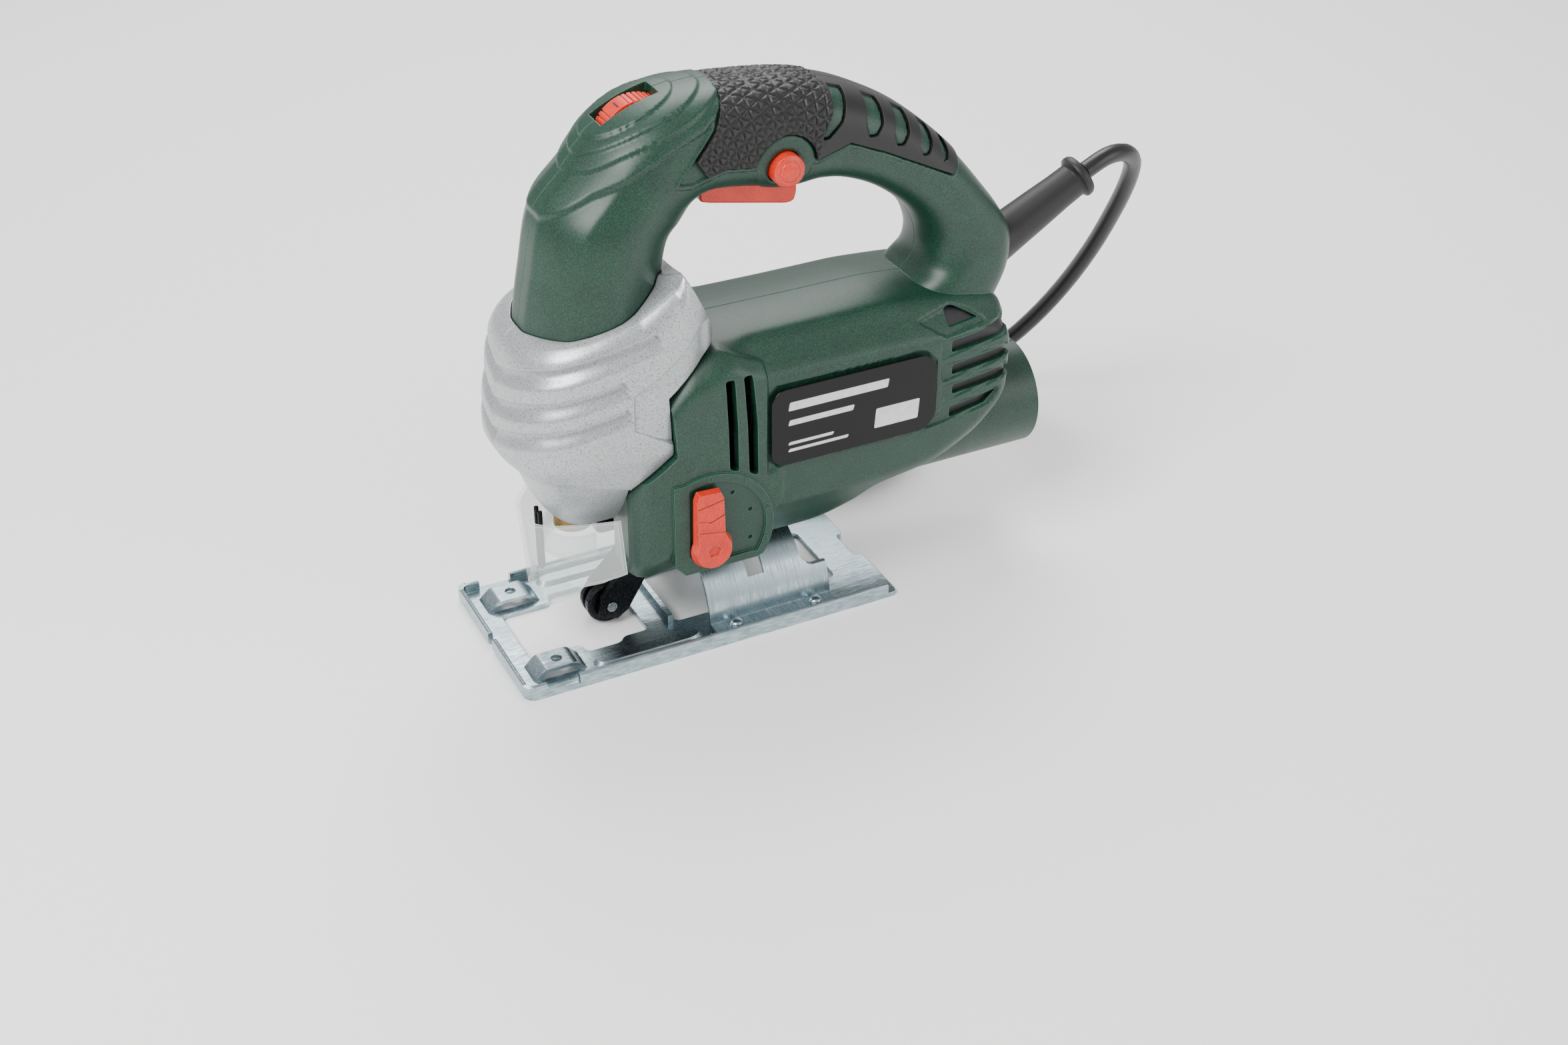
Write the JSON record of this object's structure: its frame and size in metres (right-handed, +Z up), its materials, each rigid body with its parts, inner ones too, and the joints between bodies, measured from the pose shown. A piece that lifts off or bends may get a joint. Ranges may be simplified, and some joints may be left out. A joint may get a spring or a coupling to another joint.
{
  "type": "jigsaw power tool",
  "caption": "D-handle electric jigsaw with clamshell body, gear cover, clear blade guard, orbital lever, speed dial, tilting sole plate and mains lead.",
  "frame": {"origin": "centre of the tool's length and width (without the lead), on the surface under the sole plate", "axes": "+X from the cutting front to the rear, +Y to the right-hand side seen from behind the cutting front, +Z up"},
  "size_m": [0.2862, 0.1834, 0.2061],
  "materials": {
    "green_abs": "moulded, fine spark texture",
    "silver_paint": "silver-grey metallic paint",
    "black_rubber": "matt, moulded",
    "red_plastic": "satin, moulded",
    "zinc_steel": "bright zinc plate",
    "ground_steel": "ground",
    "blackened_steel": "blackened",
    "copper": "enamelled copper",
    "bronze": "sintered",
    "clear_guard": "clear polycarbonate",
    "black_nylon": "moulded",
    "label_foil": "gloss foil"
  },
  "bodies": {
    "housing": {"housing_left": "green_abs", "housing_right": "green_abs", "gear_cover_left": "silver_paint", "gear_cover_right": "silver_paint", "grip_overmould_left": "black_rubber", "grip_overmould_right": "black_rubber", "label_plate_left": "label_foil", "label_plate_right": "label_foil", "housing_screw_1": "blackened_steel", "housing_screw_2": "blackened_steel", "housing_screw_3": "blackened_steel", "housing_screw_4": "blackened_steel", "cable_boot": "black_rubber", "stator": "ground_steel", "front_bearing": "ground_steel", "rear_bearing": "ground_steel", "carbon_brush_left": "blackened_steel", "carbon_brush_right": "blackened_steel", "brush_holder_left": "bronze", "brush_holder_right": "bronze", "switch": "black_nylon", "control_board": "green_abs", "dial_pin": "ground_steel", "gear_shaft": "ground_steel", "upper_bush": "bronze", "lower_bush": "bronze", "blade_guard": "clear_guard", "finger_wire": "blackened_steel", "clamp_screw": "ground_steel", "clamp_washer": "zinc_steel", "clamp_nut": "zinc_steel", "fork_pin": "ground_steel", "power_cord": "black_rubber", "cord_tail": "black_rubber", "cord_coil": "black_rubber", "plug": "black_rubber"},
    "armature": {"armature_shaft": "ground_steel", "armature_core": "ground_steel", "winding_front": "copper", "winding_rear": "copper", "commutator": "copper", "cooling_fan": "black_nylon"},
    "crank_gear": {"drive_gear": "ground_steel", "crank_disc": "ground_steel", "crank_roller": "ground_steel"},
    "plunger_rod": {"plunger": "ground_steel", "blade_clamp": "bronze"},
    "trigger_key": {"trigger": "red_plastic"},
    "lock_key": {"lock_button": "red_plastic"},
    "dial_wheel": {"speed_dial": "red_plastic"},
    "lever": {"orbital_lever": "red_plastic"},
    "fork": {"roller_fork": "blackened_steel", "roller_pin": "ground_steel"},
    "roller": {"blade_roller": "blackened_steel"},
    "base": {"base_plate": "zinc_steel", "tilt_bracket": "zinc_steel", "rivet_front_left": "zinc_steel", "rivet_front_right": "zinc_steel", "rivet_rear_left": "zinc_steel", "rivet_rear_right": "zinc_steel"}
  },
  "joints": [
    {"name": "base_tilt", "type": "hinge", "parent": "housing", "child": "base", "pos_m": [0, 0, 0.0025], "axis": [1, 0, 0], "range_deg": [-45, 45]},
    {"name": "plunger_stroke", "type": "slide", "parent": "housing", "child": "plunger_rod", "axis": [0, 0, -1], "range_m": [0, 0.02]},
    {"name": "motor_spin", "type": "hinge", "parent": "housing", "child": "armature", "pos_m": [-0.0249, 0, 0.088], "axis": [1, 0, 0], "continuous": true},
    {"name": "gear_spin", "type": "hinge", "parent": "housing", "child": "crank_gear", "pos_m": [-0.0549, 0, 0.114], "axis": [1, 0, 0], "continuous": true},
    {"name": "trigger_press", "type": "slide", "parent": "housing", "child": "trigger_key", "axis": [0, 0, 1], "range_m": [0, 0.005], "stiffness_N_per_m": 400, "springref_m": -0.004},
    {"name": "lock_press", "type": "slide", "parent": "housing", "child": "lock_key", "axis": [0, 1, 0], "range_m": [0, 0.003], "stiffness_N_per_m": 400, "springref_m": -0.002},
    {"name": "dial_turn", "type": "hinge", "parent": "housing", "child": "dial_wheel", "pos_m": [-0.0599, 0, 0.189], "axis": [0, 1, 0], "range_deg": [0, 280]},
    {"name": "lever_turn", "type": "hinge", "parent": "housing", "child": "lever", "pos_m": [-0.0507, -0.0349, 0.048], "axis": [0, 1, 0], "range_deg": [0, 108]},
    {"name": "fork_swing", "type": "hinge", "parent": "housing", "child": "fork", "pos_m": [-0.0619, 0, 0.04], "axis": [0, 1, 0], "range_deg": [0, 4]},
    {"name": "roller_spin", "type": "hinge", "parent": "fork", "child": "roller", "pos_m": [-0.0789, 0, 0.009], "axis": [0, 1, 0], "continuous": true}
  ],
  "couplings": [
    {"joint": "gear_spin", "follows": "motor_spin", "ratio": -0.18182}
  ]
}
